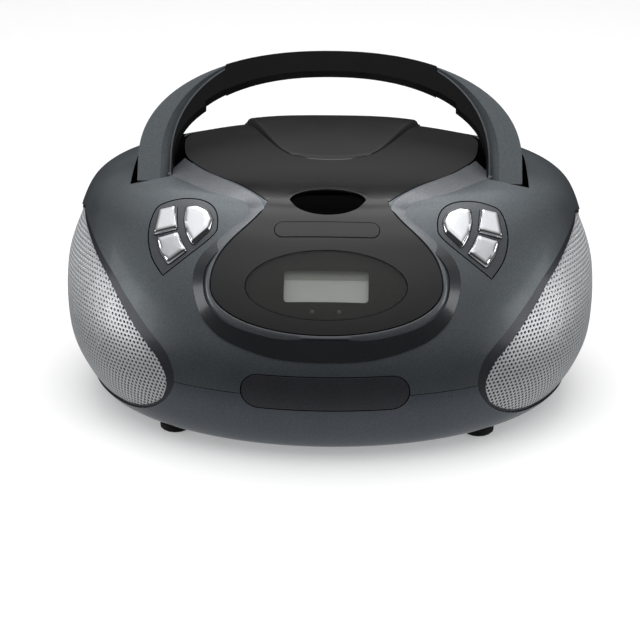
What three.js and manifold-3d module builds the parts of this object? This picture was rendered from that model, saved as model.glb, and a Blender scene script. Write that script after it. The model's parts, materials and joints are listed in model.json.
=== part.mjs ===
// A portable CD boombox with a saucer-shaped cabinet, built as separate pieces.
// Millimetres, +Z up, +X to the listener's right, -Y towards the listener.
// The cabinet is drawn about its own middle, and the whole is then moved so that the origin
// is on the surface it stands on, under the middle of everything.

import * as THREE from 'three';
import { mergeVertices } from 'three/addons/utils/BufferGeometryUtils.js';
import Module from 'manifold-3d';

const wasm = await Module();
wasm.setup();

// ---- Driving dimensions -------------------------------------------------

const floorGap = 5;           // height of the cabinet's underside
const cabinetTop = 148;       // highest point of the cabinet
const middleHeight = 60;      // height of the widest part
const seamHeight = 43;        // split between lower and upper cabinet
const wall = 2.5;             // thickness of the cabinet walls
const gap = 0.3;              // between pieces that touch
const overallMiddleY = 6.2;   // middle of the whole depth, antenna included

// Horizontal sections of the cabinet: height, half width, front Y, rear Y.
const sections = [
  [148, 0, 50, 50],
  [146.5, 50, 16, 77],
  [143, 85, -15, 86],
  [139.5, 110, -42, 91],
  [135, 131, -50, 96],
  [128, 144, -58.5, 101],
  [118, 151, -69, 106],
  [100, 156.5, -84.5, 110.5],
  [80, 159.5, -98, 112],
  [60, 160, -107, 112.5],
  [40, 158, -109, 112],
  [20, 152, -106.5, 109],
  [9, 145, -102, 104],
  [5, 138, -96, 98],
];
const frontRoundness = 2;     // exponent of the front half of each section
const rearRoundness = 2.5;    // exponent of the rear half, a little squarer
const sectionSteps = 32;      // points round one section
const outlineSteps = 12;      // points along half of a free outline

const podTilt = THREE.MathUtils.degToRad(48);
const podOrigin = new THREE.Vector3(0, -82, 101);
const pod = { halfWidth: 67, drop: 31, middle: 2.5, waist: 35, top: 62 };
const lipWidth = 3.5;
const bevelWidth = 11;
const lipRise = 3.5;
const bevelRise = 1.2;
const panelRise = 1.2;

const displayWindow = { halfWidth: 46.3, halfHeight: 20.4, middle: 0.8 };
const screen = { halfWidth: 24.3, low: -8.4, high: 10.6 };
const ledOffset = 7.7;
const ledDrop = -13.7;
const badge = { halfWidth: 30.3, middle: 34.4, halfHeight: 4.7 };
const insert = { halfWidth: 48.5, low: 35.4, high: 56 };

const disc = { y: 22, wellRadius: 61.5, floor: 123.5, seat: 127.2 };
const lidHinge = { y: 80.5, z: 138, pinRadius: 1.2, bore: 1.5, barrel: 2.5 };
const hingeSpan = [43, 56];   // where each lid hinge starts and ends, from the middle
const lidGap = 0.4;           // round the lid
const lidRearGap = 1.3;       // behind the lid, where its edge swings back

const handle = {
  pivotY: 26, pivotZ: 116, hub: 10, seamY: -8, seamZ: 137,
  outerHalf: 115.3, outerRise: 68.3, innerHalf: 94.3, innerRise: 51.7, spring: 14,
  roundness: 2.2, topFrontY: 41.3, topZ: 202.9, gripDepth: 13, coverDepth: 6,
};
const cover = { half: 101.5, rise: 62.9, roundness: 2.3, end: 64 };
const handleFold = 40;        // degrees that the handle folds back
const slotClearance = 1.2;
const slotOuter = 119.5;

const speaker = { x: 124, y: 0, z: 62, radius: 46 };
const battery = { halfWidth: 79, front: -2, rear: 58, top: 34, wall: 1.8 };
const footPlaces = [[-91, -63], [91, -63], [-91, 68], [91, 68]];
const screwPlaces = [[-62, -78], [62, -78], [-62, 84], [62, 84]];
const antenna = { x: -80, y: 116, z: 97, tube: 3.2, rod: 2, length: 150 };

// ---- Materials ----------------------------------------------------------

const paint = (color, roughness, metalness = 0) =>
  new THREE.MeshStandardMaterial({ color, roughness, metalness });
const cabinetPaint = paint(0x545a5f, 0.42, 0.3);
const blackPlastic = paint(0x1b1b1c, 0.4);
const glossBlack = paint(0x101011, 0.12);
const steelMesh = paint(0xb9bcc0, 0.35, 1);
const chrome = paint(0xe6e8ea, 0.08, 1);
const smokedWindow = paint(0x303232, 0.1);
const screenGlass = paint(0xa9ada6, 0.3);
const circuitBoard = paint(0x1f5a35, 0.6);
const bareSteel = paint(0x9a9da0, 0.35, 1);
const darkSteel = paint(0x4a4c50, 0.5, 1);
const rubber = paint(0x161616, 0.9);
const paperCone = paint(0x26262a, 0.85);

// ---- Turning geometry into solids and back ------------------------------

function solid(geometry) {
  geometry.deleteAttribute('normal');
  geometry.deleteAttribute('uv');
  const merged = mergeVertices(geometry, 1e-4);
  return new wasm.Manifold(new wasm.Mesh({
    numProp: 3,
    vertProperties: new Float32Array(merged.attributes.position.array),
    triVerts: new Uint32Array(merged.index.array),
  }));
}

const model = new THREE.Group();

// Adds one named piece, keeping only its largest body: slivers left by a cut are dropped.
function piece(name, shape, material) {
  const bodies = shape.decompose().sort((a, b) => b.volume() - a.volume());
  const cut = bodies[0].getMesh();
  const geometry = new THREE.BufferGeometry();
  geometry.setAttribute('position', new THREE.BufferAttribute(cut.vertProperties, 3));
  geometry.setIndex(new THREE.BufferAttribute(cut.triVerts, 1));
  const mesh = new THREE.Mesh(geometry, material);
  mesh.name = name;
  model.add(mesh);
}

const join = (...shapes) => shapes.reduce((a, b) => a.add(b));
const cut = (shape, ...tools) => tools.reduce((a, b) => a.subtract(b), shape);

function box(x0, x1, y0, y1, z0, z1) {
  const geometry = new THREE.BoxGeometry(x1 - x0, y1 - y0, z1 - z0);
  geometry.translate((x0 + x1) / 2, (y0 + y1) / 2, (z0 + z1) / 2);
  return solid(geometry);
}

// A round bar from one end point to the other.
function rod(radius, from, to, sides = 16) {
  const start = new THREE.Vector3(...from);
  const along = new THREE.Vector3(...to).sub(start);
  const geometry = new THREE.CylinderGeometry(radius, radius, along.length(), sides);
  geometry.translate(0, along.length() / 2, 0);
  const up = new THREE.Vector3(0, 1, 0);
  geometry.applyQuaternion(new THREE.Quaternion().setFromUnitVectors(up, along.normalize()));
  geometry.translate(start.x, start.y, start.z);
  return solid(geometry);
}

// A turned piece: profile points are [radius, distance along axis] from the centre out.
function turned(profile, centre, axis, sides = 16) {
  const outline = profile.map(([r, h]) => new THREE.Vector2(r, h));
  const geometry = new THREE.LatheGeometry(outline, sides);
  const up = new THREE.Vector3(0, 1, 0);
  const direction = new THREE.Vector3(...axis);
  geometry.applyQuaternion(new THREE.Quaternion().setFromUnitVectors(up, direction));
  geometry.translate(...centre);
  return solid(geometry);
}

// A flat outline pushed along a frame's third axis, from one distance to another.
function prism(outline, frame, from, to) {
  const shape = new THREE.Shape(outline);
  const geometry = new THREE.ExtrudeGeometry(shape, { depth: to - from, bevelEnabled: false });
  geometry.translate(0, 0, from);
  geometry.applyMatrix4(frame);
  return solid(geometry);
}

function frameOf(origin, u, v) {
  const n = new THREE.Vector3().crossVectors(u, v);
  return new THREE.Matrix4().makeBasis(u, v, n).setPosition(origin);
}

const X = new THREE.Vector3(1, 0, 0);
const Y = new THREE.Vector3(0, 1, 0);
const Z = new THREE.Vector3(0, 0, 1);
const origin = new THREE.Vector3();
const plan = frameOf(origin, X, Y);            // outline (x, y), pushed up
const side = frameOf(origin, Y, Z);            // outline (y, z), pushed right
const front = frameOf(origin, X, Z);           // outline (x, z), pushed forward
const upSlope = new THREE.Vector3(0, Math.cos(podTilt), Math.sin(podTilt));
const podFrame = frameOf(podOrigin, X, upSlope); // outline (x, up the slope), pushed out
const podNormal = new THREE.Vector3().crossVectors(X, upSlope);
const upHandle = new THREE.Vector3(0, handle.topFrontY - handle.seamY,
  handle.topZ - handle.seamZ).normalize();
const handleFrame = frameOf(new THREE.Vector3(0, handle.seamY, handle.seamZ), X, upHandle);

// ---- Outlines -----------------------------------------------------------

const mirrored = (half) => [
  ...half,
  ...half.slice().reverse().filter((p) => p.x > 1e-6).map((p) => new THREE.Vector2(-p.x, p.y)),
];
const points = (pairs) => pairs.map(([x, y]) => new THREE.Vector2(x, y));

function ellipse(halfWidth, halfHeight, middle, steps = 28) {
  return new THREE.EllipseCurve(0, middle, halfWidth, halfHeight).getPoints(steps).slice(0, -1);
}

function slot(halfWidth, low, high, steps = 8) {
  const radius = (high - low) / 2;
  const middle = (high + low) / 2;
  const end = new THREE.EllipseCurve(halfWidth - radius, middle, radius, radius,
    -Math.PI / 2, Math.PI / 2).getPoints(steps);
  return mirrored(end);
}

// Egg-shaped front of the pod, drawn in to the waist, as (x, up the slope).
function podOutline(grow, top = pod.top) {
  const half = [];
  const steps = 8;
  for (let i = 0; i <= steps; i++) {
    const angle = -Math.PI / 2 + (i / steps) * (Math.PI / 2);
    half.push(new THREE.Vector2((pod.halfWidth + grow) * Math.cos(angle),
      pod.middle + (pod.drop + grow) * Math.sin(angle)));
  }
  const flank = new THREE.CubicBezierCurve(
    new THREE.Vector2(pod.halfWidth + grow, pod.middle),
    new THREE.Vector2(pod.halfWidth + grow, 30),
    new THREE.Vector2(pod.waist + 1 + grow, 38),
    new THREE.Vector2(pod.waist + grow, 56));
  half.push(...flank.getPoints(steps).slice(1), new THREE.Vector2(pod.waist + grow, top));
  half[0].x = 0;
  return mirrored(half);
}

// Outline of the disc lid seen from above.
const lidPoints = points([[36, -42], [53, -23], [69, -9], [80, 5], [88, 20],
  [91.2, 40], [91, 58], [84, 74], [64, 83], [34, 85.6], [0, 86]]);

function lidOutline(shrink) {
  const curve = new THREE.SplineCurve(lidPoints);
  const half = curve.getPoints(outlineSteps).map((p, i, all) => {
    const along = all[Math.min(i + 1, outlineSteps)].clone().sub(all[Math.max(i - 1, 0)]).normalize();
    return new THREE.Vector2(p.x - along.y * shrink, p.y + along.x * shrink);
  });
  half[half.length - 1].x = 0;
  half.unshift(new THREE.Vector2(0, -42 + shrink), new THREE.Vector2(36 - shrink, -42 + shrink));
  return mirrored(half.filter((p, i) => i !== 2));
}

// Speaker opening seen from the side, as (y, z): a leaning leaf with a flat foot.
const grilleMiddle = 2;
const grillePoints = points([[0, 11.5], [50, 11.5], [66, 13.5], [78, 19], [87, 28.5], [92, 41],
  [91.5, 53], [86.5, 63.4], [73, 76.7], [61, 86.5], [48, 95.5], [22, 108.8], [0, 117]]);

function grilleOutline(shrink) {
  const half = new THREE.SplineCurve(grillePoints).getPoints(outlineSteps).map((p, i, all) => {
    const along = all[Math.min(i + 1, outlineSteps)].clone().sub(all[Math.max(i - 1, 0)]).normalize();
    return new THREE.Vector2(p.x - along.y * shrink, p.y + along.x * shrink);
  });
  half[0].x = 0;
  half[half.length - 1].x = 0;
  return mirrored(half).map((p) => new THREE.Vector2(p.x + grilleMiddle, p.y));
}

// The handle's arch seen square to its leaning face: straight legs and a superellipse on top.
function archOutline(half, rise, roundness, foot) {
  const outline = [new THREE.Vector2(half, foot)];
  const steps = 20;
  for (let i = 0; i <= steps; i++) {
    const angle = (i / steps) * Math.PI;
    const c = Math.cos(angle);
    const s = Math.sin(angle);
    outline.push(new THREE.Vector2(
      half * Math.sign(c) * Math.abs(c) ** (2 / roundness),
      handle.spring + rise * s ** (2 / roundness)));
  }
  outline.push(new THREE.Vector2(-half, foot));
  return outline;
}

// The handle seen from the side, as (y, z): a fin that narrows from the hub to the grip.
function finOutline(grow) {
  const { pivotY, pivotZ, hub, seamY, seamZ, topFrontY, topZ, gripDepth } = handle;
  const outline = points([
    [topFrontY + gripDepth + grow, topZ + grow],
    [topFrontY + grow * 0.2, topZ + grow],
    [seamY - grow, seamZ + grow * 0.2],
    [seamY + 2, seamZ - 7 - grow],
  ]);
  const hubArc = new THREE.EllipseCurve(pivotY, pivotZ, hub + grow, hub + grow,
    Math.PI * 1.15, Math.PI * 2);
  return [...outline, ...hubArc.getPoints(10)];
}

// Control island and buttons on the right, as (x, up the slope).
const islandPoints = points([[95.5, 10.6], [102.8, 23], [105.4, 38], [101.8, 52.5], [95, 57],
  [84, 58.6], [73, 56.2], [66, 50], [63.9, 40], [68, 31]]);
const buttonOutlines = {
  shield: points([[78, 27.4], [81.8, 34.2], [83.9, 43], [83.4, 52.4], [76.5, 52.9],
    [69.6, 48.9], [66.8, 42.6], [68.4, 36]]),
  upper: points([[100.2, 36.6], [97.6, 52], [89.2, 53.2], [88.8, 44], [88, 38.9]]),
  lower: points([[92.4, 16.8], [97.4, 25], [100, 33.9], [87.4, 36.4], [84.6, 29.6], [81.4, 24.2]]),
};

function grown(outline, amount) {
  const middle = outline.reduce((a, p) => a.add(p), new THREE.Vector2()).divideScalar(outline.length);
  return outline.map((p) => {
    const away = p.clone().sub(middle);
    return p.clone().add(away.normalize().multiplyScalar(amount));
  });
}

// ---- The cabinet's skin -------------------------------------------------

const signedPower = (value, power) => Math.sign(value) * Math.abs(value) ** power;

// The solid inside the cabinet's skin, moved in by an inset, or out when it is negative.
const skins = new Map();
function skin(inset) {
  if (skins.has(inset)) return skins.get(inset);
  const up = (cabinetTop - middleHeight - inset) / (cabinetTop - middleHeight);
  const down = (middleHeight - floorGap - inset) / (middleHeight - floorGap);
  const vertices = [];
  const height = (z) => middleHeight + (z - middleHeight) * (z > middleHeight ? up : down);
  for (const [z, halfWidth, frontY, rearY] of sections.slice(1)) {
    const middle = (frontY + rearY) / 2;
    for (let i = 0; i < sectionSteps; i++) {
      const angle = (i / sectionSteps) * Math.PI * 2;
      const power = 2 / (Math.sin(angle) > 0 ? rearRoundness : frontRoundness);
      vertices.push((halfWidth - inset) * signedPower(Math.cos(angle), power),
        middle + ((rearY - frontY) / 2 - inset) * signedPower(Math.sin(angle), power), height(z));
    }
  }
  const rings = sections.length - 1;
  const top = vertices.length / 3;
  vertices.push(0, sections[0][2], height(cabinetTop));
  vertices.push(0, (sections[rings][2] + sections[rings][3]) / 2, height(floorGap));
  const triangles = [];
  for (let i = 0; i < sectionSteps; i++) {
    const next = (i + 1) % sectionSteps;
    triangles.push(top, i, next);
    for (let k = 0; k < rings - 1; k++) {
      const a = k * sectionSteps;
      const b = a + sectionSteps;
      triangles.push(a + i, b + i, b + next, a + i, b + next, a + next);
    }
    const last = (rings - 1) * sectionSteps;
    triangles.push(top + 1, last + next, last + i);
  }
  const geometry = new THREE.BufferGeometry();
  geometry.setAttribute('position', new THREE.BufferAttribute(new Float32Array(vertices), 3));
  geometry.setIndex(triangles);
  skins.set(inset, solid(geometry));
  return skins.get(inset);
}

const shell = (outer, inner) => skin(outer).subtract(skin(inner));

// ---- Shared cutters -----------------------------------------------------

const reach = 200;
const podCut = (grow, from = -26, to = 40) => prism(podOutline(grow), podFrame, from, to);
const lidCut = (shrink, from = 100, to = 170) => prism(lidOutline(shrink), plan, from, to);
const behindLidFront = (y) => box(-reach, reach, y, reach, -10, 260);
const inFrontOf = (y) => box(-reach, reach, -reach, y, -10, 260);
const rightGrille = (shrink) => prism(grilleOutline(shrink), side, 40, 180);
const leftGrille = (shrink) => prism(grilleOutline(shrink), side, -180, -40);
const insertCut = (grow) =>
  prism(slot(insert.halfWidth + grow, insert.low - grow, insert.high + grow), front, 80, 130);
const fingerNotch = (grow) => prism(ellipse(22 + grow, 10.5 + grow, 0, 28),
  frameOf(new THREE.Vector3(0, -42.6, 0), X, Y), 125, 160);

function mirrorX(shape) {
  return shape.mirror([1, 0, 0]);
}

const handleFoot = -80;       // far enough down the legs to take in the hub

// A block square to the handle's face: half width, span up the handle, and depths behind it.
const handleBlock = (half, low, high, back, face) => prism(points([[-half, low], [half, low],
  [half, high], [-half, high]]), handleFrame, back, face);

// The handle as one solid: a bow of even depth on two deep legs.
function handleSolid(grow, outerHalf) {
  const { outerRise, innerHalf, innerRise, roundness, gripDepth } = handle;
  const arch = cut(
    prism(archOutline(outerHalf, outerRise + grow, roundness, handleFoot), handleFrame, -90, 10),
    prism(archOutline(innerHalf - grow, innerRise - grow, roundness, handleFoot - 5),
      handleFrame, -95, 15));
  const legs = cut(arch, handleBlock(innerHalf - grow, -120, 120, -100, 20));
  const bow = arch.intersect(handleBlock(reach, -20, 120, -gripDepth - grow, 20));
  return join(legs, bow).intersect(prism(finOutline(grow), side, -reach, reach));
}

// The space that the handle sweeps as it folds, with clearance, and room outside its legs.
function handleSweep(clearance) {
  const { pivotY, pivotZ } = handle;
  const legs = handleSolid(clearance, slotOuter);
  const steps = 4;
  let swept = legs;
  for (let i = 1; i <= steps; i++) {
    swept = swept.add(legs.translate([0, -pivotY, -pivotZ])
      .rotate([-(handleFold + 1) * (i / steps), 0, 0]).translate([0, pivotY, pivotZ]));
  }
  return swept;
}

// ---- Cabinet ------------------------------------------------------------

function addCabinet() {
  const belowSeam = box(-reach, reach, -reach, reach, -5, seamHeight);
  const aboveSeam = box(-reach, reach, -reach, reach, seamHeight + gap, 200);
  const walls = shell(0, wall);
  const bosses = screwPlaces.map(([x, y]) => rod(5, [x, y, 6], [x, y, 30]));
  const bay = box(-battery.halfWidth - battery.wall, battery.halfWidth + battery.wall,
    battery.front - battery.wall, battery.rear + battery.wall, 6, battery.top + battery.wall);
  const bayHollow = box(-battery.halfWidth, battery.halfWidth, battery.front, battery.rear,
    7.6, battery.top);
  const doorHole = box(-battery.halfWidth + 3, battery.halfWidth - 3, battery.front + 2,
    battery.rear - 2, 0, 10);
  const screwHoles = screwPlaces.map(([x, y]) =>
    rod(3.8, [x, y, 0], [x, y, 9]).add(rod(1.8, [x, y, 8], [x, y, 40])));
  const inletHole = box(76, 104, 80, 125, 20, 34);
  const jackHoles = [rod(5, [48, 90, 27], [48, 130, 27]), rod(5, [28, 90, 27], [28, 130, 27])];
  piece('bottom_cabinet', cut(join(walls.intersect(belowSeam), ...bosses, bay), bayHollow, doorHole,
    ...screwHoles, inletHole, ...jackHoles, rightGrille(0), leftGrille(0), insertCut(gap)),
  cabinetPaint);

  const podBevel = podCut(bevelWidth).intersect(skin(-bevelRise));
  const podLip = podCut(lipWidth).intersect(skin(-lipRise)).intersect(inFrontOf(-40));
  const lidLip = lidCut(-2.6).intersect(skin(-1)).intersect(behindLidFront(-46));
  const pits = handleSweep(slotClearance + 1.8).intersect(skin(0.8));
  const slots = handleSweep(slotClearance);
  const hollow = skin(wall);
  const rim = join(podBevel, podLip, lidLip).subtract(hollow);
  const upper = join(walls.intersect(aboveSeam), rim, pits);
  piece('top_cabinet', cut(upper, podCut(0).intersect(inFrontOf(-41.7)), lidCut(-lidGap, 115, 170),
    lidCut(-lidRearGap, 115, 170).intersect(behindLidFront(70)), slots, rightGrille(0),
    leftGrille(0), insertCut(gap), fingerNotch(0), islandCut(0), mirrorX(islandCut(0)),
    handlePinHole(), mirrorX(handlePinHole())), cabinetPaint);

  const mesh = shell(0.4, 1.4);
  piece('grille_right', mesh.intersect(rightGrille(gap)), steelMesh);
  piece('grille_left', mesh.intersect(leftGrille(gap)), steelMesh);
  piece('front_insert', shell(0, 2.2).intersect(insertCut(0)).intersect(inFrontOf(-80)),
    cabinetPaint);
}

const islandCut = (shrink) => prism(grown(islandPoints, -shrink), podFrame, -30, 30);
const handlePinHole = () => rod(3.3, [90, handle.pivotY, handle.pivotZ],
  [slotOuter + 1, handle.pivotY, handle.pivotZ]);

// ---- Front pod: panel, window, screen, lamps and name plate --------------

function addPod() {
  const window = (grow) => prism(ellipse(displayWindow.halfWidth + grow,
    displayWindow.halfHeight + grow, displayWindow.middle), podFrame, -14, 20);
  const badgeCut = (grow) => prism(slot(badge.halfWidth + grow,
    badge.middle - badge.halfHeight - grow, badge.middle + badge.halfHeight + grow),
  podFrame, -14, 20);
  const panel = shell(-panelRise, 1.6).intersect(podCut(-gap)).intersect(inFrontOf(-42.6));
  const badgeSeat = badgeCut(0).intersect(skin(-2).subtract(skin(0.4)));
  piece('front_panel', cut(panel, window(gap), badgeSeat, fingerNotch(0.4)), blackPlastic);
  piece('name_plate', shell(-panelRise - 0.4, 0.1).intersect(badgeCut(-gap)), glossBlack);
  piece('display_window', shell(-panelRise, 0.8).intersect(window(0)), smokedWindow);

  const slab = (x0, x1, low, high, back, face) =>
    prism(points([[x0, low], [x1, low], [x1, high], [x0, high]]), podFrame, back, face);
  piece('lcd_module', slab(-screen.halfWidth - 3, screen.halfWidth + 3, screen.low - 1,
    screen.high + 3, -10, -4.4), screenGlass);
  piece('display_board', slab(-44, 44, -17, 18, -13.4, -11.8), circuitBoard);
  for (const [name, x] of [['power_lamp', -ledOffset], ['stereo_lamp', ledOffset]]) {
    const lamp = new THREE.Vector3(x, 0, 0).addScaledVector(upSlope, ledDrop).add(podOrigin);
    const back = lamp.clone().addScaledVector(podNormal, -11.4);
    const face = lamp.clone().addScaledVector(podNormal, -3.4);
    piece(name, rod(1.5, back.toArray(), face.toArray(), 16), screenGlass);
  }
}

// ---- Control buttons ----------------------------------------------------

function addButtons() {
  for (const [hand, sign] of [['left', -1], ['right', 1]]) {
    const place = (shape) => (sign > 0 ? shape : mirrorX(shape));
    const openings = Object.values(buttonOutlines).map((outline) =>
      prism(grown(outline, 0.5), podFrame, -30, 30));
    piece(`button_bezel_${hand}`,
      place(cut(shell(0.3, 2.4).intersect(islandCut(gap)), ...openings)), cabinetPaint);
    for (const [name, outline] of Object.entries(buttonOutlines)) {
      piece(`button_${hand}_${name}`,
        place(shell(-1.8, 4).intersect(prism(outline, podFrame, -30, 30))), chrome);
    }
  }
}

// ---- Handle -------------------------------------------------------------

function addHandle() {
  const { outerHalf, outerRise, roundness, pivotY, pivotZ } = handle;
  const body = handleSolid(0, outerHalf);
  const faceBand = (depth) => handleBlock(reach, -30, 110, -depth, 5);
  const coverRegion = (grow) => cut(
    prism(archOutline(outerHalf + 5, outerRise + 5, roundness, -2.5 - grow), handleFrame, -90, 10),
    prism(archOutline(cover.half - grow, cover.rise - grow, cover.roundness, handleFoot),
      handleFrame, -95, 15),
    handleBlock(cover.end - grow, -100, 120, -100, 20));
  const covers = body.intersect(coverRegion(0)).intersect(faceBand(handle.coverDepth));
  const sideBox = box(0, reach, -100, 150, 0, 300);
  const frameBody = cut(body, coverRegion(gap).intersect(faceBand(handle.coverDepth + gap)));
  const pinBore = rod(2.9, [-reach, pivotY, pivotZ], [reach, pivotY, pivotZ]);
  const gripSleeve = (grow) => handleBlock(66 + grow, 48 - grow, 100, -30, 5);
  piece('handle_frame', cut(frameBody, pinBore, gripSleeve(gap)), blackPlastic);
  piece('handle_grip', frameBody.intersect(gripSleeve(0)), rubber);
  piece('handle_cover_right', covers.intersect(sideBox), cabinetPaint);
  piece('handle_cover_left', covers.subtract(sideBox), cabinetPaint);
  const pin = rod(2.6, [handle.innerHalf - 2.4, pivotY, pivotZ], [slotOuter + 1.2, pivotY, pivotZ]);
  piece('handle_pin_right', pin, bareSteel);
  piece('handle_pin_left', mirrorX(pin), bareSteel);
}

// ---- Disc lid and player ------------------------------------------------

function addPlayer() {
  const { y, wellRadius, floor, seat } = disc;
  const barrels = [1, -1].map((hand) => rod(lidHinge.barrel,
    [hand * hingeSpan[0], lidHinge.y, lidHinge.z], [hand * hingeSpan[1], lidHinge.y, lidHinge.z]));
  const ears = [1, -1].map((hand) => box(
    Math.min(hand * hingeSpan[0], hand * hingeSpan[1]), Math.max(hand * hingeSpan[0], hand * hingeSpan[1]),
    lidHinge.y - 2.4, lidHinge.y + 1.5, lidHinge.z, lidHinge.z + 12));
  const lidSkin = shell(0, 2.2).intersect(lidCut(0.5));
  const boss = rod(5, [0, y, 136.5], [0, y, 146]);
  const bore = rod(lidHinge.bore, [-70, lidHinge.y, lidHinge.z], [70, lidHinge.y, lidHinge.z]);
  const lid = join(lidSkin, ...barrels, ...ears.map((ear) => ear.intersect(skin(1))),
    boss.intersect(skin(1)));
  piece('cd_lid', cut(lid, bore, fingerNotch(0)), glossBlack);
  piece('disc_clamp', turned([[0, 0], [11, 0], [13, 1.2], [13, 3.4], [0, 3.4]],
    [0, y, 132.8], [0, 0, 1]), blackPlastic);

  const deck = shell(3, 5).intersect(lidCut(0.8));
  const pan = rod(wellRadius + 1.8, [0, y, floor - 2], [0, y, 150], 36).intersect(skin(3));
  const hingeRoom = box(-hingeSpan[1] - 1, hingeSpan[1] + 1, 74, 95, 130, 160)
    .subtract(box(-hingeSpan[0] + 1, hingeSpan[0] - 1, 60, 95, 120, 170));
  const wellHole = rod(wellRadius, [0, y, floor], [0, y, 170], 36);
  const hubHole = rod(15.5, [0, y, 110], [0, y, 130]);
  const lensSlot = box(10, 63.6, y - 5, y + 5, 110, floor + 2);
  const scoop = fingerNotch(0).intersect(box(-30, 30, -60, -30, 131, 160));
  const lug = box(hingeSpan[1] + 1, hingeSpan[1] + 5, lidHinge.y - 9, lidHinge.y + 3,
    lidHinge.z - 6, lidHinge.z + 6).intersect(skin(3.2));
  const lugs = join(lug, mirrorX(lug));
  piece('cd_well', cut(join(deck, pan).subtract(hingeRoom).add(lugs), bore, wellHole, hubHole,
    lensSlot, scoop), blackPlastic);
  for (const [name, hand] of [['lid_hinge_pin_right', 1], ['lid_hinge_pin_left', -1]]) {
    piece(name, rod(lidHinge.pinRadius, [hand * (hingeSpan[0] + 1), lidHinge.y, lidHinge.z],
      [hand * (hingeSpan[1] + 4.6), lidHinge.y, lidHinge.z], 14), bareSteel);
  }

  piece('turntable', turned([[0, -9], [1.2, -9], [1.2, -1.6], [14, -1.6], [14, 0], [7.4, 0],
    [7.4, 2], [5.6, 3.6], [0, 3.6]], [0, y, seat], [0, 0, 1]), blackPlastic);
  piece('spindle_motor', turned([[0, -13], [12, -13], [12.6, -12], [12.6, -3], [4, -3],
    [4, -2.2], [1.6, -2.2], [1.6, -9.6], [0, -9.6]], [0, y, seat - 4], [0, 0, 1]), darkSteel);
  const sled = box(15, 39, y - 14, y + 14, 110, 116.6).add(rod(3.6, [27, y, 116], [27, y, 124.4]));
  const railBores = [-10, 10].map((dy) => rod(1.8, [0, y + dy, 113], [80, y + dy, 113]));
  piece('pickup_sled', cut(sled, ...railBores), darkSteel);
  piece('sled_rail_front', rod(1.5, [14, y - 10, 113], [72, y - 10, 113], 14), bareSteel);
  piece('sled_rail_rear', rod(1.5, [14, y + 10, 113], [72, y + 10, 113], 14), bareSteel);
  piece('sled_motor', rod(8, [20, y + 26, 110], [44, y + 26, 110], 24), darkSteel);
  piece('main_board', box(-60, 60, -55, 62, 84, 85.6), circuitBoard);
}

// ---- Speakers and power -------------------------------------------------

function addSpeakers() {
  for (const [hand, sign] of [['left', -1], ['right', 1]]) {
    const centre = [sign * speaker.x, speaker.y, speaker.z];
    const out = [sign, 0, 0];
    const r = speaker.radius;
    piece(`speaker_frame_${hand}`, turned([[0, -42], [24, -42], [24, -28], [27, -26], [r - 6, -3],
      [r, -3], [r, 0], [r - 7, 0], [24, -23], [14, -25], [14, -38], [0, -38]], centre, out, 20),
    darkSteel);
    piece(`speaker_cone_${hand}`, turned([[0, -18], [8, -18.4], [r - 9, 0.4], [r - 3, 0.4],
      [r - 3, 1.6], [r - 6, 2.8], [r - 9, 1.8], [r - 11, -0.4], [10, -15], [6, -12], [0, -11]],
    centre, out, 20), paperCone);
  }
}

function addPower() {
  const door = box(-battery.halfWidth + 3.4, battery.halfWidth - 3.4, battery.front + 2.4,
    battery.rear - 2.4, floorGap, floorGap + 2.2);
  const grips = [-6, -3, 0, 3, 6].map((dx) => box(dx - 0.6, dx + 0.6, battery.front + 6,
    battery.front + 14, floorGap - 1, floorGap + 0.7));
  piece('battery_door', cut(door, ...grips), cabinetPaint);
  piece('battery_plate', box(-battery.halfWidth + 0.4, -battery.halfWidth + 1, 2, 54, 9, 32), bareSteel);
  piece('battery_spring_plate', box(battery.halfWidth - 1, battery.halfWidth - 0.4, 2, 54, 9, 32), bareSteel);
  piece('transformer', box(-112, -84.5, 44, 72, 13, 40), darkSteel);
  const inlet = cut(box(76.6, 103.4, 84, 112, 20.6, 33.4), box(81, 99, 96, 120, 23, 31),
    skin(0).subtract(skin(-30)), box(70, 110, 60, 130, 34, 40));
  piece('ac_inlet', inlet.intersect(skin(0.2)), blackPlastic);
  for (const [name, x] of [['headphone_jack', 48], ['aux_jack', 28]]) {
    piece(name, turned([[1.9, 0], [4.6, 0], [4.6, 14], [1.9, 14], [1.9, 0]], [x, 95.5, 27],
      [0, 1, 0], 16), blackPlastic);
  }
}

// ---- Feet, screws and antenna -------------------------------------------

function addFittings() {
  const names = ['front_left', 'front_right', 'rear_left', 'rear_right'];
  footPlaces.forEach(([x, y], i) => piece(`foot_${names[i]}`, turned([[0, 0], [8.6, 0], [9.5, 0.9],
    [9.5, 4.7], [0, 4.7]], [x, y, 0], [0, 0, 1]), rubber));
  screwPlaces.forEach(([x, y], i) => piece(`case_screw_${names[i]}`, turned([[0, 6.2], [1, 5.4],
    [3.2, 5.4], [3.2, 7.6], [1.5, 7.6], [1.5, 28], [0, 29]], [x, y, 0], [0, 0, 1], 12), darkSteel));

  const { x, y, z, tube, length } = antenna;
  const block = cut(box(x - 8, x + 8, 94, y - 4.2, z - 7, z + 7), skin(-gap));
  const pin = rod(1.6, [x, y - 6, z], [x, y + 4.6, z], 14);
  const pinHead = rod(3, [x, y + 4.2, z], [x, y + 5.4, z], 14);
  piece('antenna_bracket', join(block, pin, pinHead), blackPlastic);
  const knuckle = rod(4.4, [x, y - 3.8, z], [x, y + 3.8, z]);
  const tubeBody = cut(knuckle.add(rod(tube, [x, y, z], [x + length, y, z])),
    rod(1.9, [x, y - 6, z], [x, y + 8, z], 14),
    rod(antenna.rod + 0.3, [x + 8, y, z], [x + length + 5, y, z]));
  piece('antenna_tube', tubeBody, chrome);
  piece('antenna_rod', rod(antenna.rod, [x + 9, y, z], [x + length + 1, y, z])
    .add(rod(3.2, [x + length + 0.4, y, z], [x + length + 5, y, z])), chrome);
}

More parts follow.
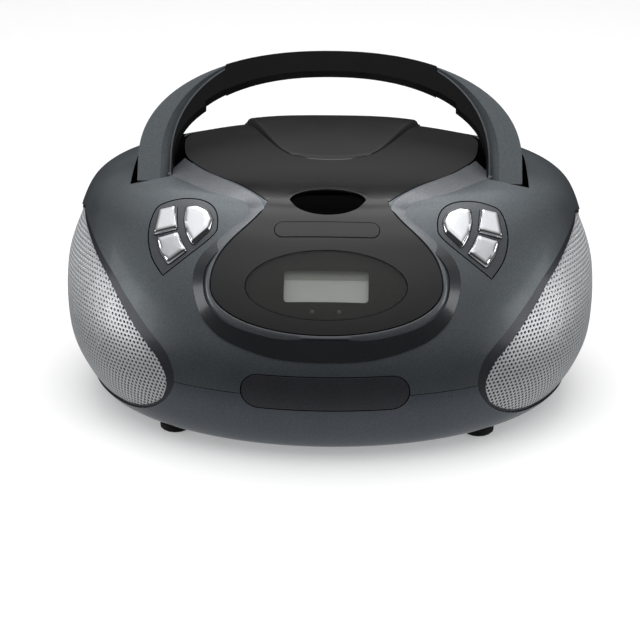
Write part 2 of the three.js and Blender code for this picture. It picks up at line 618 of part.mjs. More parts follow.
addCabinet();
addPod();
addButtons();
addHandle();
addPlayer();
addSpeakers();
addPower();
addFittings();
model.position.y = -overallMiddleY;

export default model;
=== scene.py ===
"""The boombox's looks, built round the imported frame. Metres; drawing sizes are in millimetres and
turned into metres by MM. Local heights on the sloping front ("up") run along its 48 degree slope."""

import json
import math
from bisect import bisect

import bmesh
import bpy
from mathutils import Matrix, Vector
from mathutils.bvhtree import BVHTree
from mathutils.kdtree import KDTree

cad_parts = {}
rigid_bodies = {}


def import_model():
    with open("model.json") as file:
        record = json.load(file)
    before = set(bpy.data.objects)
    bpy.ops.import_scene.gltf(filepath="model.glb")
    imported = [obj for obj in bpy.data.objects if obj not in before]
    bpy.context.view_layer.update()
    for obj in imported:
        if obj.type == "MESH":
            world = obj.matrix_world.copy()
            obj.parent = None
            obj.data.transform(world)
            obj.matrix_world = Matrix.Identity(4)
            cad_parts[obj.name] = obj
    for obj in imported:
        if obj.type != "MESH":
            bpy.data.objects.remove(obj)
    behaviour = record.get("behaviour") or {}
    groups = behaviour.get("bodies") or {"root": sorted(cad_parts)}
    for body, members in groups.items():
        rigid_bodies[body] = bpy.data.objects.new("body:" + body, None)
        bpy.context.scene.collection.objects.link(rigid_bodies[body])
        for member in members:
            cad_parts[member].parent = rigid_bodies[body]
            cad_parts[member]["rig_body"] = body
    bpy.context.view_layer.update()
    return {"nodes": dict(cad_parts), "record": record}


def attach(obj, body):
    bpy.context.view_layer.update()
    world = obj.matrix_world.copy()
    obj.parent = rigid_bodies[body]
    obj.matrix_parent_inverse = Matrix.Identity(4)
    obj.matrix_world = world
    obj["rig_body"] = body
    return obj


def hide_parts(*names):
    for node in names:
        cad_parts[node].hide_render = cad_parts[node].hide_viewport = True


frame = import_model()

MM = 0.001
SHIFT_Y = -6.2            # moves the drawing's origin to the frame's, along Y
SIDES = ((1, "right"), (-1, "left"))

# ---- Driving sizes, in millimetres, as in the CAD model -------------------------------------

CABINET_TOP = 148
MIDDLE_HEIGHT = 60
FLOOR_GAP = 5
SEAM = 43.15
SECTIONS = [              # height, half width, front Y, rear Y
    (148, 0, 50, 50), (146.5, 50, 16, 77), (143, 85, -15, 86), (139.5, 110, -42, 91),
    (135, 131, -50, 96), (128, 144, -58.5, 101), (118, 151, -69, 106), (100, 156.5, -84.5, 110.5),
    (80, 159.5, -98, 112), (60, 160, -107, 112.5), (40, 158, -109, 112), (20, 152, -106.5, 109),
    (9, 145, -102, 104), (5, 138, -96, 98),
]
FRONT_ROUNDNESS = 2
REAR_ROUNDNESS = 2.5
TILT = math.radians(48)
POD_ORIGIN = Vector((0, -82, 101))
UP_SLOPE = Vector((0, math.cos(TILT), math.sin(TILT)))
OUT_OF_SLOPE = Vector((0, -math.sin(TILT), math.cos(TILT)))


# ---- Camera, floor and light ----------------------------------------------------------------

CAMERA_ELEVATION = 25     # degrees above the floor
CAMERA_TURN = 1.6         # degrees round to the right of straight on
CAMERA_AIM = (-5.5, -15.7, 46.6)
CAMERA_DISTANCE = 1190


def add_camera():
    data = bpy.data.cameras.new("camera")
    data.sensor_width = 36
    data.lens = 108.3
    camera = bpy.data.objects.new("camera", data)
    bpy.context.scene.collection.objects.link(camera)
    elevation = math.radians(CAMERA_ELEVATION)
    turn = math.radians(CAMERA_TURN)
    back = Vector((math.sin(turn) * math.cos(elevation),
                   -math.cos(turn) * math.cos(elevation), math.sin(elevation)))
    camera.location = (Vector(CAMERA_AIM) + back * CAMERA_DISTANCE) * MM
    camera.rotation_euler = back.to_track_quat("Z", "Y").to_euler()
    bpy.context.scene.camera = camera


def add_floor():
    bpy.ops.mesh.primitive_plane_add(size=14, location=(0, 0, 0))
    floor = bpy.context.object
    floor.name = "floor"
    white = material("floor_white", (0.93, 0.93, 0.93), 0.22)
    shader = white.node_tree.nodes["Principled BSDF"]
    shader.inputs["Emission Color"].default_value = (1, 1, 1, 1)
    shader.inputs["Emission Strength"].default_value = 0.3
    floor.data.materials.append(white)
    floor.visible_diffuse = False
    floor.visible_glossy = False
    bpy.ops.mesh.primitive_cylinder_add(vertices=96, radius=6.5, depth=12, end_fill_type="NOTHING",
                                        location=(0, 0, 5.9))
    backdrop = bpy.context.object
    backdrop.name = "backdrop"
    backdrop.data.materials.append(white)
    for face in backdrop.data.polygons:
        face.use_smooth = True
    backdrop.visible_diffuse = False
    backdrop.visible_glossy = False
    backdrop.visible_shadow = False


def add_light(name, place, size, power, aim=(0, 0, 0.08), height=None):
    data = bpy.data.lights.new(name, "AREA")
    data.shape = "RECTANGLE"
    data.size = size
    data.size_y = height or size
    data.energy = power
    light = bpy.data.objects.new(name, data)
    light.location = place
    light.rotation_euler = (Vector(place) - Vector(aim)).to_track_quat("Z", "Y").to_euler()
    bpy.context.scene.collection.objects.link(light)


def add_lights():
    add_light("overhead", (0, 0.25, 1.4), 1.3, 9)
    add_light("left_soft", (-1.4, -0.4, 0.33), 0.7, 4, height=0.6)
    add_light("right_soft", (1.4, -0.4, 0.33), 0.7, 4, height=0.6)
    add_sky()
    bpy.context.scene.view_settings.view_transform = "Standard"


def add_sky():
    """A plain studio surround: bright above, dark at eye level, a little light from below."""
    world = bpy.data.worlds.new("studio")
    world.use_nodes = True
    nodes, links = world.node_tree.nodes, world.node_tree.links
    direction = nodes.new("ShaderNodeTexCoord").outputs["Generated"]
    split = nodes.new("ShaderNodeSeparateXYZ")
    links.new(direction, split.inputs["Vector"])
    height = nodes.new("ShaderNodeMapRange")
    height.inputs["From Min"].default_value = -1
    links.new(split.outputs["Z"], height.inputs["Value"])
    ramp = nodes.new("ShaderNodeValToRGB")
    stops = ((0.0, 0.62), (0.17, 0.48), (0.30, 0.05), (0.53, 0.03), (0.66, 0.05), (0.80, 0.34),
             (0.90, 0.85), (1.0, 1.2))
    elements = ramp.color_ramp.elements
    while len(elements) < len(stops):
        elements.new(0.5)
    for element, (place, value) in zip(elements, stops):
        element.position = place
        element.color = (value, value, value * 1.01, 1)
    links.new(height.outputs["Result"], ramp.inputs["Fac"])
    links.new(ramp.outputs["Color"], nodes["Background"].inputs["Color"])
    nodes["Background"].inputs["Strength"].default_value = 1.0
    bpy.context.scene.world = world


# ---- Materials ------------------------------------------------------------------------------

def material(name, color, roughness, metallic=0.0, coat=0.0, grain=0.0, grain_scale=900,
             bump=0.0, bump_scale=400, mottle=0.0, alpha=1.0, specular=0.5):
    """A moulded, painted or plated surface: fine grain in its colour, its gloss and its relief."""
    made = bpy.data.materials.new(name)
    made.use_nodes = True
    nodes, links = made.node_tree.nodes, made.node_tree.links
    shader = nodes["Principled BSDF"]
    shader.inputs["Base Color"].default_value = (*color, 1)
    shader.inputs["Roughness"].default_value = roughness
    shader.inputs["Metallic"].default_value = metallic
    shader.inputs["Coat Weight"].default_value = coat
    shader.inputs["Coat Roughness"].default_value = 0.12
    shader.inputs["Alpha"].default_value = alpha
    shader.inputs["Specular IOR Level"].default_value = specular
    place = nodes.new("ShaderNodeTexCoord").outputs["Object"]

    def noise(scale, detail=2.0):
        node = nodes.new("ShaderNodeTexNoise")
        node.inputs["Scale"].default_value = scale
        node.inputs["Detail"].default_value = detail
        links.new(place, node.inputs["Vector"])
        return node.outputs["Fac"]

    def spread(source, low, high, start=0.3, stop=0.7):
        node = nodes.new("ShaderNodeMapRange")
        node.inputs["From Min"].default_value = start
        node.inputs["From Max"].default_value = stop
        node.inputs["To Min"].default_value = low
        node.inputs["To Max"].default_value = high
        links.new(source, node.inputs["Value"])
        return node.outputs["Result"]

    if grain or mottle:
        fine = spread(noise(grain_scale, 1.0), 1 - grain, 1 + grain)
        broad = spread(noise(14, 3.0), 1 - mottle, 1 + mottle)
        both = nodes.new("ShaderNodeMath")
        both.operation = "MULTIPLY"
        links.new(fine, both.inputs[0])
        links.new(broad, both.inputs[1])
        shade = nodes.new("ShaderNodeVectorMath")
        shade.operation = "SCALE"
        shade.inputs[0].default_value = color
        links.new(both.outputs["Value"], shade.inputs["Scale"])
        links.new(shade.outputs["Vector"], shader.inputs["Base Color"])
    gloss = spread(noise(60, 3.0), roughness * 0.88, min(1, roughness * 1.12))
    links.new(gloss, shader.inputs["Roughness"])
    if bump:
        relief = nodes.new("ShaderNodeBump")
        relief.inputs["Strength"].default_value = bump
        relief.inputs["Distance"].default_value = 0.0001
        links.new(noise(bump_scale, 2.0), relief.inputs["Height"])
        links.new(relief.outputs["Normal"], shader.inputs["Normal"])
    return made


def linear(red, green, blue):
    """A colour read on a 0 to 255 scale, as the shader's linear values."""
    def one(value):
        share = value / 255
        return share / 12.92 if share <= 0.04045 else ((share + 0.055) / 1.055) ** 2.4
    return (one(red), one(green), one(blue))


PAINT = dict(metallic=0.5, coat=0.2, grain=0.16, grain_scale=1300, mottle=0.03,
             bump=0.15, bump_scale=1600)
cabinet_paint = material("cabinet_paint", linear(92, 98, 102), 0.4, **PAINT)
# Painted highlight: the cabinet's own paint made lighter, so that the raised lip looks lit.
lip_painted_highlight = material("lip_painted_highlight", linear(114, 117, 121), 0.38, **PAINT)
island_paint = material("island_paint", linear(84, 87, 91), 0.4, **PAINT)
bevel_gloss = material("bevel_gloss", linear(54, 57, 60), 0.27, metallic=0.4, coat=0.5,
                       grain=0.05, mottle=0.02, bump=0.05)
lower_paint = material("lower_paint", linear(96, 103, 110), 0.34, **PAINT)
insert_paint = material("insert_paint", linear(72, 73, 78), 0.36, **PAINT)
flange_paint = material("flange_paint", linear(62, 63, 68), 0.4, **PAINT)
pod_black = material("pod_black", linear(36, 36, 37), 0.33, grain=0.08, mottle=0.03, bump=0.08,
                     bump_scale=1300)
lid_black = material("lid_black", linear(34, 34, 35), 0.24, coat=0.3, grain=0.05, mottle=0.03,
                     bump=0.04)
deep_black = material("deep_black", linear(10, 10, 11), 0.5, grain=0.04, mottle=0.05,
                      specular=0.0)
grip_black = material("grip_black", linear(11, 11, 12), 0.5, specular=0.12, grain=0.12,
                      mottle=0.05, bump=0.4, bump_scale=900)
frame_black = material("frame_black", linear(13, 13, 14), 0.5, specular=0.12, grain=0.1,
                       mottle=0.04, bump=0.25, bump_scale=900)
steel_sheet = material("steel_sheet", linear(228, 230, 232), 0.42, metallic=0.35, grain=0.05,
                       mottle=0.05, bump=0.1, bump_scale=900)
chrome_plate = material("chrome_plate", linear(236, 237, 239), 0.1, metallic=1.0, grain=0.02,
                        mottle=0.02, bump=0.04, bump_scale=120)
bare_steel = material("bare_steel", linear(150, 152, 155), 0.35, metallic=1.0, grain=0.08,
                      mottle=0.06, bump=0.2)
dark_steel = material("dark_steel", linear(66, 67, 70), 0.45, metallic=1.0, grain=0.1,
                      mottle=0.05, bump=0.2)
rubber = material("rubber", linear(18, 18, 18), 0.85, grain=0.2, mottle=0.06, bump=0.8,
                  bump_scale=700)
window_smoke = material("window_smoke", linear(92, 93, 90), 0.1, coat=0.1, grain=0.03,
                        mottle=0.04, alpha=0.22)
lcd_glass = material("lcd_glass", linear(246, 249, 243), 0.3, grain=0.03, mottle=0.05, bump=0.02)
# Painted shadow: a darker copy of the screen's colour for the strip across its top, standing for the
# shade of the window's recess.
lcd_painted_shadow = material("lcd_painted_shadow", linear(200, 204, 194), 0.3, grain=0.03, mottle=0.05, bump=0.02)
lamp_lens = material("lamp_lens", linear(92, 93, 92), 0.25, grain=0.04, mottle=0.05, bump=0.02)
board_green = material("board_green", linear(34, 92, 55), 0.45, coat=0.3, grain=0.15, mottle=0.1,
                       bump=0.3)
paper_black = material("paper_black", linear(40, 40, 43), 0.85, grain=0.25, mottle=0.1, bump=0.9,
                       bump_scale=500)


# ---- Mesh helpers ---------------------------------------------------------------------------

def placed(name, mesh, look):
    """An object in the scene from a mesh and a material."""
    mesh.materials.append(look)
    made = bpy.data.objects.new(name, mesh)
    bpy.context.scene.collection.objects.link(made)
    return made


def mesh_object(name, vertices, faces, look):
    """A mesh from points in drawing millimetres."""
    mesh = bpy.data.meshes.new(name)
    mesh.from_pydata([(x * MM, (y + SHIFT_Y) * MM, z * MM) for x, y, z in vertices], [], faces)
    mesh.update()
    return placed(name, mesh, look)


def shape_object(name, shape, look):
    """A mesh from an edited shape, which is freed."""
    mesh = bpy.data.meshes.new(name)
    shape.to_mesh(mesh)
    shape.free()
    return placed(name, mesh, look)


def spline(points, steps):
    """A smooth open curve through points, with a number of steps between each two."""
    made = []
    for i in range(len(points) - 1):
        before = Vector(points[max(i - 1, 0)])
        a, b = Vector(points[i]), Vector(points[i + 1])
        after = Vector(points[min(i + 2, len(points) - 1)])
        for k in range(steps):
            t = k / steps
            made.append(0.5 * ((2 * a) + (b - before) * t + (2 * before - 5 * a + 4 * b - after)
                               * t * t + (3 * a - before - 3 * b + after) * t ** 3))
    made.append(Vector(points[-1]))
    return made


def mirrored(half):
    """A closed outline from its right half, which starts and ends on the middle line."""
    left = [Vector((-p[0], p[1])) for p in reversed(half) if p[0] > 1e-6]
    return [Vector(p) for p in half] + left


def offset(outline, amount):
    """A closed outline, running anticlockwise, moved outwards by an amount."""
    count = len(outline)
    made = []
    for i, p in enumerate(outline):
        along = (outline[(i + 1) % count] - outline[i - 1]).normalized()
        made.append(Vector((p.x + along.y * amount, p.y - along.x * amount)))
    return made


def rectangle(x0, x1, y0, y1):
    return [Vector(p) for p in ((x0, y0), (x1, y0), (x1, y1), (x0, y1))]


def place_plan(u, v, w):
    return (u, v, w)


def place_side(u, v, w):
    return (w, u, v)


def place_front(u, v, w):
    return (u, -w, v)


def place_slope(u, v, w):
    return tuple(POD_ORIGIN + Vector((u, 0, 0)) + UP_SLOPE * v + OUT_OF_SLOPE * w)


def loft(name, rings, look):
    """A closed solid through rings of equal length, capped at both ends."""
    count = len(rings[0])
    vertices = [p for ring in rings for p in ring]
    faces = [tuple(reversed(range(count)))]
    for k in range(len(rings) - 1):
        a, b = k * count, (k + 1) * count
        faces += [(a + i, a + (i + 1) % count, b + (i + 1) % count, b + i) for i in range(count)]
    faces.append(tuple(range((len(rings) - 1) * count, len(rings) * count)))
    made = mesh_object(name, vertices, faces, look)
    outwards(made)
    return made


def outwards(made):
    shape = bmesh.new()
    shape.from_mesh(made.data)
    bmesh.ops.triangulate(shape, faces=[f for f in shape.faces if len(f.verts) > 4])
    bmesh.ops.recalc_face_normals(shape, faces=shape.faces)
    shape.to_mesh(made.data)
    shape.free()


def prism(name, outline, place, levels, look):
    """An outline pushed along its third axis. Each level is (distance, outward growth)."""
    rings = [[place(p.x, p.y, w) for p in (offset(outline, grow) if grow else outline)]
             for w, grow in levels]
    return loft(name, rings, look)


def block(name, outline, place, low, high, grow=0.0, look=None):
    """An outline pushed from one distance to another, mostly to cut or keep with."""
    return prism(name, outline, place, [(low, grow), (high, grow)], look or deep_black)


def combine(target, tools, operation="DIFFERENCE"):
    """Cuts, joins or intersects target with each tool, and removes the tools."""
    for tool in tools:
        modifier = target.modifiers.new("cut", "BOOLEAN")
        modifier.operation = operation
        modifier.solver = "MANIFOLD"
        modifier.object = tool
    graph = bpy.context.evaluated_depsgraph_get()
    mesh = bpy.data.meshes.new_from_object(target.evaluated_get(graph))
    target.modifiers.clear()
    target.data = mesh
    for tool in tools:
        bpy.data.objects.remove(tool)
    return target


def copy_of(source, name):
    made = source.copy()
    made.data = source.data.copy()
    made.name = name
    bpy.context.scene.collection.objects.link(made)
    return made


def finished(made, body, nodes=(), angle=30, bevel=0.0, bevel_angle=50, segments=2):
    """Smooth shading with crisp edges, a soft bevel where asked, then the body; the parts it stands
    in for are hidden.
    """
    if bevel:
        shape = bmesh.new()
        shape.from_mesh(made.data)
        bmesh.ops.remove_doubles(shape, verts=shape.verts, dist=0.00001)
        bmesh.ops.dissolve_degenerate(shape, edges=shape.edges, dist=0.00002)
        shape.to_mesh(made.data)
        shape.free()
        modifier = made.modifiers.new("edges", "BEVEL")
        modifier.width = bevel * MM
        modifier.segments = segments
        modifier.limit_method = "ANGLE"
        modifier.angle_limit = math.radians(bevel_angle)
        modifier.harden_normals = False
    made.data.shade_smooth()
    made.data.set_sharp_from_angle(angle=math.radians(angle))
    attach(made, body)
    if nodes:
        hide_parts(*nodes)
    return made


# ---- The cabinet's skin, as a smooth surface ------------------------------------------------

RINGS_BETWEEN = 7
ROUND_STEPS = 200
# The first section here is the one below the crown, mirrored, so that the curve is level on top.
_profile = spline([(146.5, -50, 84, 23)] + SECTIONS, RINGS_BETWEEN)[RINGS_BETWEEN:]


def signed_power(value, power):
    return math.copysign(abs(value) ** power, value)


def section_point(section, angle, inset=0.0):
    """A point on one horizontal section. Angle 0 is the right, and 90 degrees the back."""
    z, half_width, front, rear = section
    power = 2 / (REAR_ROUNDNESS if math.sin(angle) > 0 else FRONT_ROUNDNESS)
    return ((half_width - inset) * signed_power(math.cos(angle), power),
            (front + rear) / 2 + ((rear - front) / 2 - inset) * signed_power(math.sin(angle), power),
            z)


def skin(name, inset, look, steps=ROUND_STEPS, every=1):
    """The solid inside the cabinet's skin, drawn in by an inset."""
    up = (CABINET_TOP - MIDDLE_HEIGHT - inset) / (CABINET_TOP - MIDDLE_HEIGHT)
    down = (MIDDLE_HEIGHT - FLOOR_GAP - inset) / (MIDDLE_HEIGHT - FLOOR_GAP)
    vertices = []
    sections = [s for i, s in enumerate(_profile) if i % every == 0 or i == len(_profile) - 1]
    for section in sections[1:]:
        scale = up if section[0] > MIDDLE_HEIGHT else down
        height = MIDDLE_HEIGHT + (section[0] - MIDDLE_HEIGHT) * scale
        for i in range(steps):
            x, y, _ = section_point(section, i / steps * 2 * math.pi, inset)
            vertices.append((x, y, height))
    rings = len(sections) - 1
    vertices.append((0, 50, MIDDLE_HEIGHT + (CABINET_TOP - MIDDLE_HEIGHT) * up))
    faces = [(len(vertices) - 1, (i + 1) % steps, i) for i in range(steps)]
    for k in range(rings - 1):
        a, b = k * steps, (k + 1) * steps
        faces += [(a + i, a + (i + 1) % steps, b + (i + 1) % steps, b + i) for i in range(steps)]
    last = (rings - 1) * steps
    faces.append(tuple(last + i for i in range(steps)))
    made = mesh_object(name, vertices, faces, look)
    outwards(made)
    return made


_surface = skin("surface_probe", 0, cabinet_paint)
_spots = [v.co.copy() for v in _surface.data.vertices]
_normals = [v.normal.copy() for v in _surface.data.vertices]
_patches = [tuple(p.vertices) for p in _surface.data.polygons]
_tree = BVHTree.FromPolygons(_spots, _patches)
bpy.data.objects.remove(_surface)


def to_frame(point):
    return Vector((point[0], point[1] + SHIFT_Y, point[2])) * MM


def from_frame(point):
    return Vector((point.x / MM, point.y / MM - SHIFT_Y, point.z / MM))


def drape(point, toward):
    """Where the skin is met from outside along a direction, and its outward normal there."""
    far = to_frame(Vector(point) - Vector(toward) * 300)
    hit, _, patch, _ = _tree.ray_cast(far, Vector(toward).normalized())
    if hit is None:
        hit, _, patch, _ = _tree.find_nearest(to_frame(point))
    normal = Vector((0, 0, 0))
    for corner in _patches[patch]:
        normal += _normals[corner] / ((_spots[corner] - hit).length_squared + 1e-8)
    return from_frame(hit), normal.normalized()


def on_slope(u, up, rise=0.0):
    """A point on the skin, seen square to the sloping front, then raised off the skin."""
    hit, normal = drape(place_slope(u, up, 0), -OUT_OF_SLOPE)
    return tuple(hit + normal * rise)


def on_top(x, y, rise=0.0):
    hit, normal = drape((x, y, 100), (0, 0, -1))
    return tuple(hit + normal * rise)


def on_side(y, z, rise=0.0, hand=1):
    hit, normal = drape((100 * hand, y, z), (-hand, 0, 0))
    return tuple(hit + normal * rise)


def band(name, rails, look, closed=True):
    """A solid ring or strip whose cross-section runs through the rails in turn."""
    count, rows = len(rails[0]), len(rails)
    vertices = [p for rail in rails for p in rail]
    spans = range(count) if closed else range(count - 1)
    faces = []
    for k in range(rows):
        a, b = k * count, (k + 1) % rows * count
        faces += [(a + i, a + (i + 1) % count, b + (i + 1) % count, b + i) for i in spans]
    if not closed:
        faces.append(tuple(k * count for k in range(rows)))
        faces.append(tuple(k * count + count - 1 for k in reversed(range(rows))))
    made = mesh_object(name, vertices, faces, look)
    outwards(made)
    return made


def between_skins(name, outer, inner, look, tools):
    """A shaped piece of a shell: the space between two insets of the skin, kept inside tools."""
    made = skin(name, outer, look)
    combine(made, [skin("under", inner, look, steps=120, every=2)])
    return combine(made, tools, "INTERSECT")


# ---- Outlines -------------------------------------------------------------------------------

def pod_half():
    """Right half of the black pod's outline, from its foot up to the lid, as (x, up)."""
    half = []
    for i in range(25):
        angle = -math.pi / 2 + i / 24 * math.pi / 2
        half.append(Vector((67 * math.cos(angle), 2.5 + 31 * math.sin(angle))))
    half[0].x = 0
    a, b, c, d = (Vector(p) for p in ((67, 2.5), (67, 30), (36, 38), (35, 56)))
    for i in range(1, 25):
        t = i / 24
        half.append(a * (1 - t) ** 3 + b * 3 * t * (1 - t) ** 2 + c * 3 * t * t * (1 - t)
                    + d * t ** 3)
    return half


def pod_outline(top=64):
    return mirrored(pod_half() + [Vector((35, top))])


LID_SIDE = [(36, -42), (53, -23), (69, -9), (80, 5), (88, 20), (91.2, 40), (91, 58), (84, 74),
            (64, 83), (34, 85.6), (0, 86)]


def lid_outline():
    return mirrored([Vector((0, -42))] + spline(LID_SIDE, 10))


GRILLE_MIDDLE = 2
GRILLE_HALF = [(0, 11.5), (50, 11.5), (66, 13.5), (78, 19), (87, 28.5), (92, 41), (91.5, 53),
               (86.5, 63.4), (73, 76.7), (61, 86.5), (48, 95.5), (22, 108.8), (0, 117)]


def grille_outline():
    half = spline(GRILLE_HALF, 8)
    return [Vector((p.x + GRILLE_MIDDLE, p.y)) for p in mirrored(half)]


def slot_outline(half_width, low, high, steps=16):
    radius = (high - low) / 2
    half = [Vector((half_width - radius + radius * math.cos(a), (low + high) / 2
                    + radius * math.sin(a)))
            for a in (-math.pi / 2 + i / steps * math.pi for i in range(steps + 1))]
    return mirrored(half)


def ellipse(half_width, half_height, middle=0.0, steps=96, centre_x=0.0):
    return [Vector((centre_x + half_width * math.cos(i / steps * 2 * math.pi),
                    middle + half_height * math.sin(i / steps * 2 * math.pi)))
            for i in range(steps)]


ISLAND = [(95.5, 10.6), (102.8, 23), (105.4, 38), (101.8, 52.5), (95, 57), (84, 58.6),
          (73, 56.2), (66, 50), (63.9, 40), (68, 31)]


def island_outline():
    """The control island: a leaf with its point at the foot."""
    return spline(ISLAND + [ISLAND[0]], 6)[:-1]


# ---- The handle's own shape -----------------------------------------------------------------

PIVOT = (26, 116)
SEAM_FOOT = (-8, 137)
HANDLE_TOP = (41.3, 202.9)
HANDLE_DEPTH = 11
LEAN = Vector((0, HANDLE_TOP[0] - SEAM_FOOT[0], HANDLE_TOP[1] - SEAM_FOOT[1])).normalized()
LEAN_OUT = Vector((0, -LEAN.z, LEAN.y))
ARCH = {                  # half width, rise and roundness of each curve of the handle
    "outer": (115.3, 68.3, 2.2),
    "inner": (94.3, 51.7, 2.2),
    "bow": (94.3, 56.4, 2.2),
    "crease": (101.5, 71.9, 2.2),
    "lip": (95.4, 72, 2.2),
}
FOLD = 40                 # degrees that the handle folds back
BOW_HALF = 76             # inside this the bow is thinner, with a small step at each end
SPRING = 14               # height up the handle where its legs start to curve
LEG_FOOT = -80


def on_handle(x, height, out=0.0):
    """A point on the leaning front face of the handle, moved out of it by a distance."""
    return tuple(Vector((x, *SEAM_FOOT)) + LEAN * height + LEAN_OUT * out)


def arch_outline(half, rise, roundness, foot=LEG_FOOT, steps=88):
    points = [Vector((half, foot))]
    for i in range(steps + 1):
        angle = i / steps * math.pi
        c, s = math.cos(angle), math.sin(angle)
        points.append(Vector((half * signed_power(c, 2 / roundness),
                              SPRING + rise * abs(s) ** (2 / roundness))))
    points.append(Vector((-half, foot)))
    return points


def fin_outline(grow=0.0):
    points = [Vector((HANDLE_TOP[0] + HANDLE_DEPTH + grow, HANDLE_TOP[1] + grow)),
              Vector((HANDLE_TOP[0] + grow * 0.2, HANDLE_TOP[1] + grow)),
              Vector((SEAM_FOOT[0] - grow, SEAM_FOOT[1] + grow * 0.2)), Vector((-6, 130 - grow))]
    for i in range(21):
        angle = math.pi * (1.15 + 0.85 * i / 20)
        points.append(Vector((PIVOT[0] + (10 + grow) * math.cos(angle),
                              PIVOT[1] + (10 + grow) * math.sin(angle))))
    return points


def handle_block(half, low, high, back, face, centre=0.0):
    """A block square to the handle's face."""
    corners = rectangle(centre - half, centre + half, low, high)
    return block("block", corners, on_handle, back, face, look=frame_black)


def handle_solid(name, grow, outer_half, look):
    """The handle as one solid: a bow of even depth on two deep legs."""
    _, rise, roundness = ARCH["outer"]
    inner_half, inner_rise, _ = ARCH["inner"]
    legs = block(name, arch_outline(outer_half, rise + grow, roundness), on_handle, -90, 10,
                 look=look)
    hole = arch_outline(inner_half - grow, inner_rise - grow, roundness, LEG_FOOT - 5)
    combine(legs, [block("hole", hole, on_handle, -95, 15, look=look)])
    half, rise, roundness = ARCH["bow"]
    thin = block("thin", arch_outline(half - grow, rise - grow, roundness), on_handle, -95, 15,
                 look=look)
    combine(thin, [handle_block(BOW_HALF, -120, 120, -100, 20)], "INTERSECT")
    combine(legs, [thin])
    bow = copy_of(legs, "bow")
    combine(bow, [handle_block(200, -20, 120, -HANDLE_DEPTH - grow, 20)], "INTERSECT")
    combine(legs, [handle_block(inner_half - grow, -120, 120, -100, 20)])
    combine(legs, [bow], "UNION")
    fin = block("fin", fin_outline(grow), place_side, -200, 200, look=look)
    return combine(legs, [fin], "INTERSECT")


def handle_sweep(clearance):
    """The room that the handle needs as it folds back."""
    legs = handle_solid("sweep", clearance, 119.5, deep_black)
    pivot = to_frame((0, *PIVOT))
    turned = []
    for i in range(1, 9):
        step = copy_of(legs, "step")
        turn = Matrix.Rotation(math.radians(-(FOLD + 1) * i / 8), 4, "X")
        step.data.transform(Matrix.Translation(pivot) @ turn @ Matrix.Translation(-pivot))
        turned.append(step)
    return combine(legs, turned, "UNION")


# ---- Cabinet --------------------------------------------------------------------------------

def big_box(name, low, high, y0=-200, y1=200):
    return block(name, rectangle(-200, 200, y0, y1), place_plan, low, high)


def grille_tools():
    outline = grille_outline()
    return [block("grille_hole", outline, place_side, low, high, look=flange_paint)
            for low, high in ((40, 180), (-180, -40))]


def insert_tool(grow):
    return block("insert_hole", slot_outline(48.5, 35.4, 56), place_front, 80, 130, grow)


NOTCH = (22, 10.5, -42.6)  # half width, half depth and middle of the lid's finger notch


def notch_tool(grow):
    half_width, half_depth, middle = NOTCH
    outline = ellipse(half_width + grow, half_depth + grow, middle)
    return block("notch", outline, place_plan, 120, 170)


def island_tool(grow, hand):
    outline = [Vector((p.x * hand, p.y)) for p in island_outline()]
    if hand < 0:
        outline.reverse()
    return block("island_hole", outline, place_slope, -32, 30, grow)


WALL = 2.4                # thickness of the cabinet's shells


def shell_between(name, low, high, look):
    """The cabinet wall between two heights."""
    made = skin(name, 0, look)
    combine(made, [skin("hollow", WALL, deep_black, steps=96, every=2)])
    return combine(made, [big_box("keep", low, high)], "INTERSECT")


LID_SWING_GAP = 1.5       # room behind the lid, whose rear edge swings back as it opens


def add_upper_cabinet():
    made = shell_between("upper_shell", SEAM + 0.35, 170, cabinet_paint)
    pod = block("pod_hole", pod_outline(), place_slope, -26, 40)
    combine(pod, [big_box("front_half", -10, 260, -200, -41.7)], "INTERSECT")
    lid = block("lid_hole", lid_outline(), place_plan, 110, 175, 0.4)
    lid_rear = block("lid_swing", lid_outline(), place_plan, 110, 175, LID_SWING_GAP)
    combine(lid_rear, [big_box("rear_half", -10, 260, 60, 200)], "INTERSECT")
    combine(made, [pod, lid, lid_rear, handle_sweep(1.2), *grille_tools(), insert_tool(0.5),
                   island_tool(0.35, 1), island_tool(0.35, -1), notch_tool(0)])
    # Painted shade: the grey ridge between the lid and each arm takes the black finish, standing for
    # the dark gap there.
    made.data.materials.append(deep_black)
    for face in made.data.polygons:
        x, y, z = from_frame(face.center)
        painted_shade_by_arm = 83 < abs(x) < 95.3 and 2 < y < 60 and z > 122
        if painted_shade_by_arm:
            face.material_index = 1
    finished(made, "cabinet", ["top_cabinet"], angle=32)


def add_slot_pits():
    """Black liners inside the two handle slots."""
    made = handle_sweep(2.6)
    combine(made, [skin("outside", 1.4, deep_black, steps=96, every=2)], "INTERSECT")
    combine(made, [handle_sweep(1.25)])
    made.name = "handle_slot_liners"
    made.data.materials.clear()
    made.data.materials.append(deep_black)
    finished(made, "cabinet")


SCREWS = ((-62, -78), (62, -78), (-62, 84), (62, 84))


def add_lower_cabinet():
    made = shell_between("lower_shell", 0, SEAM, lower_paint)
    door = block("door_hole", rectangle(-76, 76, 0, 56), place_plan, 0, 10)
    holes = [block("screw_well", ellipse(3.8, 3.8, y, 32, x), place_plan, 0, 12)
             for x, y in SCREWS]
    sockets = [block("jack_hole", ellipse(5, 5, 27, 40, x), place_front, -130, -90)
               for x in (28, 48)]
    inlet = block("inlet_hole", rectangle(76, 104, 20, 34), place_front, -130, -80)
    combine(made, [door, inlet, insert_tool(0.5), *holes, *sockets, *grille_tools()])
    finished(made, "cabinet", ["bottom_cabinet"], angle=32)


def add_battery_bay():
    """The open bay over the battery door, with its moulded cell cradles."""
    walls = block("battery_bay", rectangle(-80.8, 80.8, -3.8, 59.8), place_plan, 7, 35.8)
    combine(walls, [block("bay_hollow", rectangle(-79, 79, -2, 58), place_plan, 6, 34)])
    ridge = block("bay_ridge", rectangle(-78, 78, 27.2, 28.8), place_plan, 26, 34.2)
    combine(walls, [ridge], "UNION")
    finished(walls, "cabinet")


